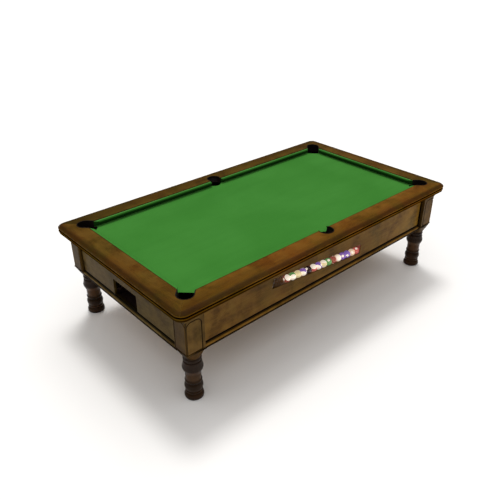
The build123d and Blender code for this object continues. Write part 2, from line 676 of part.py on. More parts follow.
def gully(s):
    y = s * GULLY_Y
    right = gully_sections(DROP_X, DROP_Z, GULLY_END_X, RIGHT_Z)
    left = gully_sections(-GULLY_END_X, LEFT_Z, DROP_X, DROP_Z)
    body = channel(strip_y, *right, y, GULLY_HALF) + channel(strip_y, *left, y, GULLY_HALF)
    outer = GULLY_HALF + GULLY_T
    for side, z in ((1, RIGHT_Z), (-1, LEFT_Z)):
        body += block(side * (GULLY_END_X - GULLY_T), side * GULLY_END_X,
                      y - outer, y + outer, z - GULLY_T, z + GULLY_STOP_H)
    body -= block(DROP_X - GULLY_HALF, DROP_X + GULLY_HALF, y - GULLY_HALF,
                  y + GULLY_HALF, DROP_Z - 20, DROP_Z + 8)
    return body


def cross_gully():
    outlines = gully_sections(CROSS_BACK_Y, CROSS_BACK_Z, CROSS_FRONT_Y, CROSS_FRONT_Z)
    outer = CROSS_HALF + GULLY_T
    return fuse(channel(strip_x, *outlines, DROP_X, CROSS_HALF),
                block(DROP_X - outer, DROP_X + outer, CROSS_BACK_Y - GULLY_T, CROSS_BACK_Y,
                      CROSS_BACK_Z - GULLY_T, CROSS_BACK_Z + GULLY_WALL_H))


save("gully_front", gully(-1))
save("gully_back", gully(1))
save("cross_gully", cross_gully())

# ---------------------------------------------------------------------------
# Display trough behind the window and its train of balls
# ---------------------------------------------------------------------------
# In the trough's frame x runs along the fall from the lowest ball, z square to it.
TROUGH_X = (-1126.0, 26.0)
TROUGH_FRONT_Y, TROUGH_BACK_Y = -683.5, -627.5
TROUGH_FLOOR = -BALL_R - 0.3
TROUGH_WALL_T, TROUGH_WALL_H = 6.0, 50.0
BALL_Y = -666.0                 # ball-centre plane
BALL_PITCH = BALL_D + 0.02
BALL_ORDER = [15, 14, 1, 12, 8, 11, 10, 9, 6, 7, 13, 4, 2, 5, 3]   # lowest ball last


def ball_trough():
    floor, front, back = TROUGH_FLOOR, TROUGH_FRONT_Y, TROUGH_BACK_Y
    head = TROUGH_X[0]
    frame = Pos(LAST_X, 0, LAST_Z) * Rot(0, TILT, 0)
    trough = fuse(
        frame * block(*TROUGH_X, front, back, floor - 6.0, floor),
        frame * block(*TROUGH_X, back - TROUGH_WALL_T, back,            # back wall
                      floor - 1, floor + TROUGH_WALL_H),
        frame * block(*TROUGH_X, front, front + 4.0, floor - 1, floor + 3.6),   # front lip
        frame * block(head, head + TROUGH_WALL_T, front, back,          # head stop
                      floor - 1, floor + TROUGH_WALL_H))
    # balls come in here from the cross gully
    return trough - block(DROP_X - 46, DROP_X + 46, -634.5, -626.0,
                          CROSS_FRONT_Z - GULLY_T - 0.5, 700)


def ball(i):
    along = -(len(BALL_ORDER) - 1 - i) * BALL_PITCH
    tilt = math.radians(TILT)
    return Pos(LAST_X + along * math.cos(tilt), BALL_Y,
               LAST_Z - along * math.sin(tilt)) * Sphere(BALL_R)


save("ball_trough", ball_trough())
for name, numbers in (("solid_balls", range(1, 8)), ("striped_balls", range(9, 16)),
                      ("black_ball", (8,))):
    save(name, *[ball(i) for i, number in enumerate(BALL_ORDER) if number in numbers])

# ---------------------------------------------------------------------------
# Release gate: a plate on the end of a rod that is drawn out at the back
# ---------------------------------------------------------------------------
BUSH_R = 5.04                   # bore of both rod bushes
# Knob, turned about the rod: (radius, distance outwards)
KNOB = [
    (5.0, 0.0), (12.0, 0.0), (13.0, 2.0), (9.0, 8.0), (9.5, 13.0), (14.5, 19.0),
    (16.5, 25.0), (15.5, 31.0), (11.0, 35.5), (0.0, 37.0), (0.0, 31.0), (5.0, 31.0),
]
# Flanged bush through the back panel: (radius, distance outwards)
BUSH = [(BUSH_R, 0), (13, 0), (13, 6), (6.95, 6), (6.95, 26.5), (BUSH_R, 26.5)]


def release_gate():
    plate = block(GATE_X, GATE_X + 3, -684.0, -640.0, 449.0, 540.0)
    return fillet(plate.edges().filter_by(Axis.X), 5.0)


def turned_on_rod(profile, y):
    """(r, distance towards +Y) profile turned about the rod, starting at y."""
    return Pos(ROD_X, y, ROD_Z) * Rot(-90, 0, 0) * turned(profile)


def rod_hanger():
    """Bored lug hanging from the front slate bearer."""
    y = -BEARER_OUT_Y
    return fuse(block(ROD_X - 16, ROD_X + 16, y, y + 8, 514, BEARER_BOT),
                rod_y(ROD_X, y - 6, y + 14, ROD_Z, 12.0)
                ) - rod_y(ROD_X, y - 10, y + 20, ROD_Z, BUSH_R)


save("release_gate", release_gate())
save("release_rod", fuse(rod_y(ROD_X, -683.0, PANEL_OUT_Y + 33.9, ROD_Z, 4.98),
                         rod_y(ROD_X, -638.5, -632.5, ROD_Z, 9.0)))     # collar
save("release_knob", turned_on_rod(KNOB, PANEL_OUT_Y + 3.0))
save("rod_bushes", turned_on_rod(BUSH, PANEL_IN_Y - 6), rod_hanger())

# ---------------------------------------------------------------------------
# Return runner: chute from the gate, long runner and catching tray
# ---------------------------------------------------------------------------
SHEET_T = 5.0                   # floors and walls
CHUTE_X0, CHUTE_X1 = 424.0, 508.0
CHUTE_FRONT_Y, CHUTE_BACK_Y = -683.0, -440.0
RUN_Z = 434.0                   # runner floor at its head
RUN_FALL = 13.5
RUN_HALF = 41.0
RUN_HEAD = (466.0, -486.0)
TRAY_X = -1150.0                # tray's inner end
RUN_FOOT = (TRAY_X, 0.0)
TRAY_BOT, TRAY_RIM = 412.0, 470.0
TRAY_HALF = 168.0


def chute():
    """Floor, right wall, short left wall and back stop."""
    right = CHUTE_X1 + SHEET_T
    front, back = CHUTE_FRONT_Y, CHUTE_BACK_Y
    return fuse(
        strip_x([(front, 434.0), (back, 429.0), (back, 434.0), (front, 440.0)],
                CHUTE_X0, right),
        block(CHUTE_X1, right, front, back, 434.0, 476.0),
        block(CHUTE_X0, CHUTE_X0 + SHEET_T, -630.0, -530.0, 434.0, 476.0),
        block(CHUTE_X0, right, back - SHEET_T, back, 429.0, 470.0))


def runner():
    """Channel from the chute to the tray, trimmed clear of both."""
    dx, dy = RUN_FOOT[0] - RUN_HEAD[0], RUN_FOOT[1] - RUN_HEAD[1]
    length = math.hypot(dx, dy)
    heading = math.degrees(math.atan2(dy, dx))
    fall = math.degrees(math.atan2(RUN_FALL, length))
    inner = RUN_HALF - SHEET_T
    body = fuse(block(0, length, -RUN_HALF, RUN_HALF, -SHEET_T, 0),
                block(46, length - 24, -RUN_HALF, -inner, -SHEET_T, 32),
                block(46, length, inner, RUN_HALF, -SHEET_T, 32))
    body = Pos(*RUN_HEAD, RUN_Z) * Rot(0, 0, heading) * Rot(0, fall, 0) * body
    body -= block(CHUTE_X0, 700, -700, -400, 400, 500)
    return body - block(-1400, TRAY_X + 0.5, -300, 300, 380, 520)


def catch_tray():
    """Floor, two side walls and an inner wall notched for the runner."""
    left = -PANEL_IN_X + 0.5
    inner = TRAY_HALF - SHEET_T
    return fuse(
        block(left, TRAY_X, -TRAY_HALF, TRAY_HALF, TRAY_BOT, TRAY_BOT + SHEET_T),
        block(left, TRAY_X, -TRAY_HALF, -inner, TRAY_BOT, TRAY_RIM),
        block(left, TRAY_X, inner, TRAY_HALF, TRAY_BOT, TRAY_RIM),
        block(TRAY_X - SHEET_T, TRAY_X, -TRAY_HALF, TRAY_HALF, TRAY_BOT, TRAY_RIM),
    ) - block(TRAY_X - 10, TRAY_X + 10, -48, 48, 420.0, 480)


save("return_runner", chute(), runner())
save("catch_tray", catch_tray())
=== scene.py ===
"""Pool table with turned legs, cloth-covered cushions and a row of balls in its return trough.

Metres, +Z up, floor at z = 0, table centred on the origin.  The long rails run along X; front is -Y,
left is -X.  The camera stands beyond the front left corner.
"""
import bpy, bmesh, math, random
from math import radians
from types import SimpleNamespace
from mathutils import Vector, Matrix


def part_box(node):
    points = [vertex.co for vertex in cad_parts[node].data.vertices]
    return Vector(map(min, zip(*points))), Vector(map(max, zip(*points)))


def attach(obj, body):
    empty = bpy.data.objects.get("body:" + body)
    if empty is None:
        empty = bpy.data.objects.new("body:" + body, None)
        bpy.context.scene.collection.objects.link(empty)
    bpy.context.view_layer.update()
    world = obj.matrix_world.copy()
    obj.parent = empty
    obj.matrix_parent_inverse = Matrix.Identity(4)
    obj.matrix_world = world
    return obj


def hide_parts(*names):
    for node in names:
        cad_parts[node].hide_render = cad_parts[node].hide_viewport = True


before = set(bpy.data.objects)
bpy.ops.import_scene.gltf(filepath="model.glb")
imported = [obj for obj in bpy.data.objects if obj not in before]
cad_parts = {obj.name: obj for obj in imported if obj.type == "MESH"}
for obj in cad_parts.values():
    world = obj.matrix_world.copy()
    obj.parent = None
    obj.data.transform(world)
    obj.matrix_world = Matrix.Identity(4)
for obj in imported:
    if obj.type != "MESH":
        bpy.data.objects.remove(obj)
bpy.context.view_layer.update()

HALF_LENGTH, HALF_WIDTH = 1.440, 0.793      # outer faces of the rails
RAIL_TOP = 0.8
RAIL_WIDTH = 0.162                          # outer face to the cushion's back
RAIL_INNER_X = HALF_LENGTH - RAIL_WIDTH
RAIL_INNER_Y = HALF_WIDTH - RAIL_WIDTH
BALL_DIAMETER = 0.05715
BALL_RADIUS = BALL_DIAMETER / 2
CORNERS = ("front_left", "front_right", "back_left", "back_right")


# ---------------------------------------------------------------------------
# colours and shader nodes
# ---------------------------------------------------------------------------
def srgb(*levels):
    """Linear colour from 0-255 sRGB levels."""
    def linear(level):
        part = level / 255
        return part / 12.92 if part <= 0.04045 else ((part + 0.055) / 1.055) ** 2.4
    return tuple(linear(level) for level in levels)


def toned(colour, gain, lift=0.0):
    return tuple(min(1, part * gain + lift) for part in colour)


def rgba(value):
    """A socket unchanged; a grey level or a colour as RGBA."""
    if isinstance(value, bpy.types.NodeSocket):
        return value
    if isinstance(value, (int, float)):
        return (value, value, value, 1)
    return (*value, 1)


def along(axis, lengthwise, across):
    """Texture scale with one value along the grain axis and another across it."""
    return tuple(lengthwise if name == axis else across for name in "XYZ")


class Nodes:
    """Builds the node tree of a material or a world."""

    def __init__(self, owner):
        owner.use_nodes = True
        self.owner = owner
        self.tree = owner.node_tree
        self.tree.nodes.clear()

    def node(self, kind, inputs=None, **settings):
        node = self.tree.nodes.new(kind)
        for key, value in settings.items():
            setattr(node, key, value)
        for key, value in (inputs or {}).items():
            if isinstance(value, bpy.types.NodeSocket):
                self.tree.links.new(value, node.inputs[key])
            else:
                node.inputs[key].default_value = value
        return node

    def ramp(self, factor, stops):
        """Stops are (position, grey level or colour)."""
        ramp = self.node("ShaderNodeValToRGB", {"Fac": factor})
        elements = ramp.color_ramp.elements
        while len(elements) > 1:
            elements.remove(elements[0])
        elements[0].position, elements[0].color = stops[0][0], rgba(stops[0][1])
        for position, colour in stops[1:]:
            elements.new(position).color = rgba(colour)
        return ramp.outputs["Color"]

    def math(self, operation, a, b=0.0):
        return self.node("ShaderNodeMath", {0: a, 1: b}, operation=operation).outputs[0]

    def add(self, a, b):
        return self.math("ADD", a, b)

    def sub(self, a, b):
        return self.math("SUBTRACT", a, b)

    def mul(self, a, b):
        return self.math("MULTIPLY", a, b)

    def level(self, value, gain, lift):
        return self.add(self.mul(value, gain), lift)

    def weighted(self, a, weight_a, b, weight_b):
        return self.add(self.mul(a, weight_a), self.mul(b, weight_b))

    def span(self, value, start, length):
        """0 at start, 1 one length further on."""
        return self.math("DIVIDE", self.sub(value, start), length)

    def mix(self, factor, a, b, mode="MIX"):
        return self.node("ShaderNodeMix", {0: factor, 6: rgba(a), 7: rgba(b)},
                         data_type="RGBA", blend_type=mode, clamp_factor=True).outputs[2]

    def tint(self, a, b):
        return self.mix(1.0, a, b, "MULTIPLY")

    def object_space(self):
        return self.node("ShaderNodeTexCoord").outputs["Object"]

    def split(self, vector):
        return self.node("ShaderNodeSeparateXYZ", {0: vector}).outputs

    def position(self, axis):
        return self.split(self.object_space())[axis]

    def geometry(self, output):
        return self.node("ShaderNodeNewGeometry").outputs[output]

    def coords(self, scale=(1, 1, 1), rot=(0, 0, 0), loc=(0, 0, 0)):
        return self.node("ShaderNodeMapping", {"Vector": self.object_space(), "Scale": scale,
                                               "Rotation": rot, "Location": loc}).outputs[0]

    def noise(self, vector, scale, detail=4.0, rough=0.55, warp=0.0):
        return self.node("ShaderNodeTexNoise", {"Vector": vector, "Scale": scale, "Detail": detail,
                                                "Roughness": rough, "Distortion": warp}).outputs["Fac"]

    def bump(self, height, strength, distance, normal=None):
        inputs = {"Height": height, "Strength": strength, "Distance": distance}
        if normal is not None:
            inputs["Normal"] = normal
        return self.node("ShaderNodeBump", inputs).outputs[0]

    def surface(self, inputs):
        """Closes a material with a Principled shader and returns the material."""
        shader = self.node("ShaderNodeBsdfPrincipled", inputs)
        self.node("ShaderNodeOutputMaterial", {"Surface": shader.outputs[0]})
        return self.owner


def new_material(name):
    return Nodes(bpy.data.materials.new(name))


# ---------------------------------------------------------------------------
# varnished wood
# ---------------------------------------------------------------------------
def board_layers(tree, axis, seed):
    """Noise layers of a board whose grain runs along axis; the seed shifts them."""
    shift = (seed * 3.17, seed * 1.31 + 0.4, seed * 2.11)
    board = tree.coords(along(axis, 0.9, 11.0), loc=shift)
    pores = tree.noise(tree.coords(along(axis, 6.0, 150.0), loc=shift),
                       scale=3.2, detail=3.0, rough=0.7, warp=0.1)
    rings = tree.node("ShaderNodeTexWave",
                      {"Vector": board, "Scale": 0.62, "Distortion": 7.5, "Detail": 3.0,
                       "Detail Scale": 1.1, "Detail Roughness": 0.6},
                      wave_type="RINGS", rings_direction=axis).outputs["Fac"]
    return SimpleNamespace(
        rings=rings,
        streak=tree.noise(board, scale=2.1, detail=9.0, rough=0.62, warp=0.55),
        broad=tree.noise(board, scale=0.75, detail=3.0, rough=0.5, warp=1.2),
        solid=tree.ramp(pores, [(0.0, 0), (0.40, 0), (0.52, 1)]),       # 0 inside a pore
        drift=tree.noise(tree.coords(loc=shift), scale=3.4, detail=3.0, rough=0.55, warp=0.3),
        smudge=tree.noise(tree.coords(loc=(shift[1], shift[2], shift[0])),
                          scale=7.0, detail=4.0, rough=0.6, warp=0.2))


def grain_colour(tree, layers, palette, patch):
    """Streaks and figure, then warm and olive patches, smudges and dark pores."""
    dark, mid, light, warm, olive = palette
    base = tree.ramp(layers.streak, [(0.22, dark), (0.47, mid), (0.74, light)])
    base = tree.mix(tree.mul(layers.rings, 0.34), base, dark)
    base = tree.mix(tree.ramp(layers.broad, [(0.35, 0), (0.75, 0.35)]), base, light)
    base = tree.mix(tree.ramp(layers.drift, [(0.42, 0), (0.66, patch)]), base, warm)
    base = tree.mix(tree.ramp(layers.drift, [(0.30, patch), (0.47, 0)]), base, olive)
    smudges = tree.ramp(layers.smudge, [(0.50, 1), (0.72, 0.62)])
    base = tree.mix(0.75, base, smudges, "MULTIPLY")
    return tree.mix(tree.mul(tree.sub(1.0, layers.solid), 0.42), base, toned(dark, gain=0.35))


def worn_and_grimy(tree, base, layers, light, crease_shade, reach):
    """Lighter worn edges, and painted shade in recesses within reach."""
    edges = tree.ramp(tree.geometry("Pointiness"), [(0.505, 0), (0.56, 1)])
    wear = tree.mul(edges, tree.ramp(layers.smudge, [(0.38, 0.05), (0.62, 0.55)]))
    base = tree.mix(wear, base, toned(light, gain=1.9, lift=0.01))
    # painted shade: ambient occlusion darkens creases and recesses within reach
    open_air = tree.node("ShaderNodeAmbientOcclusion", {"Distance": reach}, samples=6).outputs["AO"]
    return tree.tint(base, tree.ramp(open_air, [(0.30, crease_shade), (0.62, (0.62, 0.60, 0.56)),
                                                (0.90, 1)]))


def shoulder_tint(tree, base, layers, dim):
    """Painted shade: dims the surfaces between level and upright, and upright faces a little."""
    upward = tree.split(tree.geometry("Normal"))[2]
    tones = tree.ramp(upward, [(0.0, 0.86), (0.25, 0.86), (0.55, (dim, dim * 0.97, dim * 0.6)),
                               (0.93, (dim + 0.08, dim + 0.04, dim * 0.6)), (0.992, 1)])
    strength = tree.add(0.70, tree.mul(layers.drift, 0.5))
    return tree.mix(strength, base, tones, "MULTIPLY")


def seam_tint(tree, base, axis, place):
    """Dark line beside the plane at distance place from the centre; ramp positions in cm."""
    away = tree.sub(tree.math("ABSOLUTE", tree.position(axis)), place)
    line = tree.ramp(tree.mul(away, 100.0), [(0.0, (0.34, 0.34, 0.30)), (0.45, (0.42, 0.42, 0.38)),
                                             (0.85, 1)])
    return tree.tint(base, line)


def fade_tint(tree, base, layers, axis, start, end, colour):
    """Tint growing from start to end along an axis, with a ragged front."""
    headroom = 1.6                  # ramps stop at 1, so tints are divided, then multiplied back
    drift = tree.mul(tree.sub(layers.drift, 0.5), 0.9)
    reach = tree.add(tree.span(tree.position(axis), start, end - start), drift)
    ramp = tree.ramp(reach, [(0.0, 1 / headroom), (1.0, tuple(part / headroom for part in colour))])
    return tree.tint(base, tree.tint(ramp, headroom))


def band_tint(tree, base, bottom, height, stops, gain=1.5):
    """Painted shade and highlights by height; stops are (z, brightness), gain the ramp's headroom."""
    ramp = tree.ramp(tree.span(tree.position(2), bottom, height),
                     [((z - bottom) / height, level / gain) for z, level in stops])
    return tree.tint(base, tree.tint(ramp, gain))


def wood(name, axis, palette, seed, rough, coat, spec, patch=0.45, crease_shade=0.10, reach=0.020,
         rim=0.35, shoulder_shade=None, seam=None, fades=(), left_dim=None, painted_light_bands=None, gloss_above=None):
    """Varnished hardwood.

    palette: dark, mid, light, warm and olive.  patch: strength of the warm and olive patches.
    Recess tone and reach: tone and range of the painted shade in recesses.  rim: tone at grazing view.
    Left-face tone: painted shade on faces towards -X.  gloss_above: height below which the varnish is
    dull.
    """
    tree = new_material(name)
    layers = board_layers(tree, axis, seed)
    base = grain_colour(tree, layers, palette, patch)
    base = worn_and_grimy(tree, base, layers, palette[2], crease_shade, reach)
    if shoulder_shade is not None:
        base = shoulder_tint(tree, base, layers, shoulder_shade)
    if seam is not None:
        base = seam_tint(tree, base, *seam)
    for fade in fades:
        base = fade_tint(tree, base, layers, *fade)
    # painted shade: faces towards -X are darker
    if left_dim is not None:
        leftward = tree.mul(tree.split(tree.geometry("True Normal"))[0], -1.0)
        base = tree.tint(base, tree.ramp(leftward, [(0.45, 1),
                                                    (0.85, (left_dim, left_dim, left_dim * 0.95))]))
    # painted shade: faces towards +X or +Y are dimmer
    normal = tree.split(tree.geometry("True Normal"))
    away = tree.math("MAXIMUM", normal[0], normal[1])
    base = tree.tint(base, tree.ramp(away, [(0.30, 1), (0.80, (0.62, 0.57, 0.62))]))
    # painted shade in grooves and under edges, painted highlights on beads
    if painted_light_bands is not None:
        base = band_tint(tree, base, **painted_light_bands)
    grazing = tree.node("ShaderNodeLayerWeight", {"Blend": 0.5}).outputs["Facing"]
    base = tree.tint(base, tree.ramp(grazing, [(0.66, 1), (0.90, rim)]))
    # smudges and pores roughen the varnish
    roughness = tree.level(layers.smudge, gain=0.16, lift=rough - 0.08)
    roughness = tree.add(roughness, tree.mul(tree.sub(1.0, layers.solid), 0.10))
    height = tree.weighted(layers.solid, 0.6, layers.streak, 0.5)
    if gloss_above is not None:
        # only faces turned upwards, above this height, shine
        above = tree.math("GREATER_THAN", tree.position(2), gloss_above)
        level = tree.math("GREATER_THAN", tree.split(tree.geometry("True Normal"))[2], 0.05)
        shiny = tree.mul(above, level)
        spec, coat = tree.mul(shiny, spec), tree.mul(shiny, coat)
    return tree.surface({
        "Base Color": base, "Roughness": roughness,
        "Normal": tree.bump(height, strength=0.16, distance=0.0006),
        "Coat Weight": coat, "Coat Roughness": 0.22, "Coat IOR": 1.45,
        "IOR": 1.45, "Specular IOR Level": spec})


# ---------------------------------------------------------------------------
# other materials
# ---------------------------------------------------------------------------
def felt(name, base, lighter, darker, nap=1.0, sheen=0.25, nose_shade=None):
    """Napped billiard cloth over a fine twill, brushed along X.

    Shade tones: painted shade just below a cushion's crown and towards its foot.
    """
    tree = new_material(name)
    plain = tree.coords()
    fibre = tree.noise(tree.coords((520, 900, 900)), scale=1.0, detail=4.0, rough=0.75, warp=0.6)
    mottle = tree.noise(plain, scale=26.0, detail=5.0, rough=0.65)
    drift = tree.noise(plain, scale=1.5, detail=3.0, rough=0.5, warp=0.4)
    tracks = tree.noise(tree.coords((0.6, 5.0, 5.0)), scale=1.6, detail=4.0, rough=0.6, warp=0.8)
    twill = tree.node("ShaderNodeTexWave",
                      {"Vector": tree.coords(rot=(0, 0, radians(38))), "Scale": 300.0,
                       "Distortion": 1.5, "Detail": 2.0, "Detail Scale": 2.0},
                      wave_type="BANDS").outputs["Fac"]
    colour = tree.ramp(fibre, [(0.25, darker), (0.55, base), (0.85, lighter)])
    colour = tree.mix(0.62, colour, base)
    colour = tree.mix(tree.ramp(drift, [(0.35, 0), (0.75, 0.30)]), colour, lighter)
    colour = tree.mix(tree.ramp(tracks, [(0.45, 0), (0.80, 0.22)]), colour, darker)
    colour = tree.mix(tree.mul(mottle, 0.14), colour, darker)
    if nose_shade is not None:
        # painted shade: unchanged along the crown, darker below it and darkest towards the nose
        crown_height, fall = 0.7973, 0.010
        depth = tree.math("DIVIDE", tree.sub(crown_height, tree.position(2)), fall)
        top, foot = nose_shade
        colour = tree.tint(colour, tree.ramp(depth, [(0.0, 1), (0.12, (0.92, 0.95, 0.92)),
                                                     (0.26, top), (1.0, foot)]))
    height = tree.weighted(fibre, 0.7, twill, 0.3)
    normal = tree.bump(height, strength=0.45 * nap, distance=0.0004)
    normal = tree.bump(mottle, strength=0.10 * nap, distance=0.0008, normal=normal)
    return tree.surface({
        "Base Color": colour, "Roughness": 0.93, "Normal": normal, "Specular IOR Level": 0.12,
        "Sheen Weight": sheen, "Sheen Roughness": 0.55, "Sheen Tint": rgba(lighter)})


def rubber(name, base, rough):
    """Grained rubber with scuffed patches and pale edges."""
    tree = new_material(name)
    plain = tree.coords()
    grain = tree.noise(plain, scale=420.0, detail=4.0, rough=0.6)
    scuffs = tree.noise(plain, scale=34.0, detail=4.0, rough=0.6, warp=0.3)
    colour = tree.mix(tree.ramp(scuffs, [(0.48, 0), (0.75, 0.5)]), base,
                      toned(base, gain=1.8, lift=0.008))
    edges = tree.ramp(tree.geometry("Pointiness"), [(0.51, 0), (0.58, 0.5)])
    colour = tree.mix(edges, colour, toned(base, gain=3, lift=0.02))
    return tree.surface({
        "Base Color": colour, "Roughness": tree.level(scuffs, gain=0.25, lift=rough - 0.12),
        "Normal": tree.bump(grain, strength=0.25, distance=0.0004), "Specular IOR Level": 0.12})


def metal(name, base, rough):
    """Metal brushed along X, with faint darker spots."""
    tree = new_material(name)
    brushed = tree.noise(tree.coords((1, 60, 60)), scale=14.0, detail=4.0, rough=0.6)
    spots = tree.noise(tree.coords(), scale=60.0, detail=3.0, rough=0.6)
    return tree.surface({
        "Base Color": tree.mix(tree.mul(spots, 0.35), base, toned(base, gain=0.6)),
        "Metallic": 1.0, "Roughness": tree.level(brushed, gain=0.22, lift=rough - 0.1),
        "Normal": tree.bump(brushed, strength=0.08, distance=0.0003)})


def stone(name):
    tree = new_material(name)
    plain = tree.coords()
    clouds = tree.noise(plain, scale=9.0, detail=8.0, rough=0.6, warp=0.6)
    grit = tree.noise(plain, scale=210.0, detail=3.0, rough=0.6)
    colour = tree.ramp(clouds, [(0.3, srgb(52, 55, 60)), (0.55, srgb(76, 80, 86)),
                                (0.8, srgb(98, 102, 106))])
    colour = tree.mix(tree.mul(grit, 0.3), colour, srgb(40, 42, 46))
    return tree.surface({"Base Color": colour, "Roughness": 0.62,
                         "Normal": tree.bump(grit, strength=0.2, distance=0.0004)})


def raw_wood(name, axis, dark, light):
    """Unvarnished wood, grain along axis."""
    tree = new_material(name)
    stretch = along(axis, 1.2, 30)
    streaks = tree.noise(tree.coords(stretch), scale=2.4, detail=8.0, rough=0.62, warp=0.4)
    fibre = tree.noise(tree.coords(tuple(scale * 9 for scale in stretch)),
                       scale=2.0, detail=3.0, rough=0.6)
    colour = tree.ramp(streaks, [(0.28, dark), (0.7, light)])
    colour = tree.mix(tree.mul(fibre, 0.3), colour, toned(dark, gain=0.6))
    return tree.surface({"Base Color": colour, "Roughness": 0.7,
                         "Normal": tree.bump(fibre, strength=0.25, distance=0.0005)})


def acrylic(name):
    """Clear pane: reflects a little, from its outer faces only, with a trace of dust."""
    tree = new_material(name)
    dust = tree.noise(tree.coords(), scale=30.0, detail=5.0, rough=0.6)
    fresnel = tree.node("ShaderNodeFresnel", {"IOR": 1.45}).outputs[0]
    reflection = tree.weighted(fresnel, 0.14, dust, 0.004)
    reflection = tree.mul(reflection, tree.sub(1.0, tree.geometry("Backfacing")))
    clear = tree.node("ShaderNodeBsdfTransparent", {"Color": (0.985, 0.99, 0.985, 1)}).outputs[0]
    glossy = tree.node("ShaderNodeBsdfGlossy", {"Roughness": tree.mul(dust, 0.08),
                                                "Color": (1, 1, 1, 1)}).outputs[0]
    pane = tree.node("ShaderNodeMixShader", {0: reflection, 1: clear, 2: glossy}).outputs[0]
    tree.node("ShaderNodeOutputMaterial", {"Surface": pane})
    return tree.owner


def ball_resin(name, hue, striped):
    """Polished resin: full colour or a band around local Z, white discs at both ends of local X; a
    painted glow in its own colour brightens it.
    """
    band_half, disc_radius = 0.52, 0.34     # in ball radii
    tree = new_material(name)
    place = tree.object_space()
    unit = tree.node("ShaderNodeVectorMath", {0: place, 1: (1 / BALL_RADIUS,) * 3},
                     operation="MULTIPLY").outputs[0]
    _, y, z = tree.split(unit)
    cream = tree.noise(place, scale=90.0, detail=3.0, rough=0.5)
    white = tree.mix(tree.mul(cream, 0.5), srgb(255, 240, 224), srgb(246, 228, 206))
    colour = tree.mix(tree.mul(cream, 0.4), hue, toned(hue, gain=0.78))
    if striped:
        band = tree.math("LESS_THAN", tree.math("ABSOLUTE", z), band_half)
        colour = tree.mix(band, white, colour)
    from_axis = tree.math("SQRT", tree.add(tree.mul(y, y), tree.mul(z, z)))
    colour = tree.mix(tree.math("LESS_THAN", from_axis, disc_radius), colour, white)
    scratches = tree.noise(tree.coords(), scale=300.0, detail=3.0, rough=0.7)
    # painted light: the ball glows with its own colour through emission
    return tree.surface({
        "Base Color": colour, "Roughness": tree.level(scratches, gain=0.07, lift=0.035),
        "Emission Color": colour, "Emission Strength": 0.66, "Coat Weight": 0.6,
        "Coat Roughness": 0.03, "Specular IOR Level": 0.55,
        "Normal": tree.bump(scratches, strength=0.02, distance=0.0002)})


# ---------------------------------------------------------------------------
# palettes: dark, mid, light, warm, olive
# ---------------------------------------------------------------------------
def palette(*levels):
    return [srgb(*colour) for colour in levels]


LONG_RAIL = palette((46, 28, 2), (86, 54, 5), (108, 71, 9), (106, 54, 7), (76, 60, 3))
END_RAIL = palette((38, 25, 3), (70, 50, 5), (88, 63, 9), (88, 50, 7), (68, 58, 4))
LONG_PANEL = palette((54, 34, 5), (86, 59, 13), (106, 76, 23), (92, 54, 14), (78, 64, 16))
END_PANEL = palette((42, 30, 9), (67, 52, 18), (82, 66, 29), (73, 51, 20), (65, 56, 20))
POST = palette((44, 30, 8), (74, 53, 16), (92, 68, 26), (80, 48, 16), (72, 59, 18))
LEG = palette((26, 13, 5), (57, 37, 20), (74, 52, 30), (66, 36, 19), (54, 42, 20))

# painted shade and highlights by height on the woodwork: stops are (z, brightness)
RAIL_PAINTED_LIGHT = dict(bottom=0.730, height=0.070, stops=[
    (0.7325, 0.50), (0.7470, 0.50), (0.7500, 1.40), (0.7585, 1.40), (0.7605, 0.12),
    (0.7690, 0.12), (0.7712, 1.35), (0.7800, 1.30), (0.7838, 1.0), (0.7999, 1.0)])
PANEL_PAINTED_SHADE = dict(bottom=0.40, height=0.40, stops=[
    (0.4245, 0.10), (0.4375, 0.10), (0.4390, 1.0), (0.7999, 1.0)])
MOULDING_PAINTED_LIGHT = dict(bottom=0.38, height=0.06, gain=1.6, stops=[
    (0.3885, 0.12), (0.4000, 0.15), (0.4050, 1.20), (0.4170, 1.25), (0.4225, 0.25), (0.4390, 0.10)])
LEG_PAINTED_LIGHT = dict(bottom=0.0, height=0.36, stops=[
    (0.0, 0.85), (0.075, 0.85), (0.10, 0.55), (0.145, 0.55), (0.165, 1.50), (0.235, 1.65),
    (0.250, 0.45), (0.31, 0.50), (0.335, 0.42), (0.36, 0.9)])

# fades are (axis, start, end, tint): towards the left end and the back; towards the right end
RAIL_FADES = [(0, -0.55, -1.40, (0.55, 0.66, 0.42)), (1, 0.0, 0.7, (0.50, 0.64, 0.60))]
PANEL_FADES = [(0, 0.0, 1.2, (1.35, 1.38, 1.15))]

RAIL_FINISH = dict(rough=0.32, coat=0.06, spec=0.10, patch=0.6, painted_light_bands=RAIL_PAINTED_LIGHT,
                   gloss_above=0.772)
MOULDING_FINISH = dict(coat=0.0, spec=0.03, crease_shade=0.05, painted_light_bands=MOULDING_PAINTED_LIGHT)

rail_x = wood("rail_wood_x", "X", LONG_RAIL, seed=0.0, seam=(1, RAIL_INNER_Y), shoulder_shade=0.50,
              fades=RAIL_FADES, **RAIL_FINISH)
rail_y = wood("rail_wood_y", "Y", END_RAIL, seed=1.7, seam=(0, RAIL_INNER_X), shoulder_shade=0.56,
              **RAIL_FINISH)
panel_x = wood("cabinet_wood_x", "X", LONG_PANEL, seed=3.1, rough=0.38, coat=0.03, spec=0.06,
               fades=PANEL_FADES, painted_light_bands=PANEL_PAINTED_SHADE)
panel_y = wood("cabinet_wood_y", "Y", END_PANEL, seed=4.9, rough=0.42, coat=0.02, spec=0.05,
               painted_light_bands=PANEL_PAINTED_SHADE)
moulding_x = wood("moulding_wood_x", "X", LONG_PANEL, seed=5.2, rough=0.38, **MOULDING_FINISH)
moulding_y = wood("moulding_wood_y", "Y", END_PANEL, seed=2.6, rough=0.40, **MOULDING_FINISH)
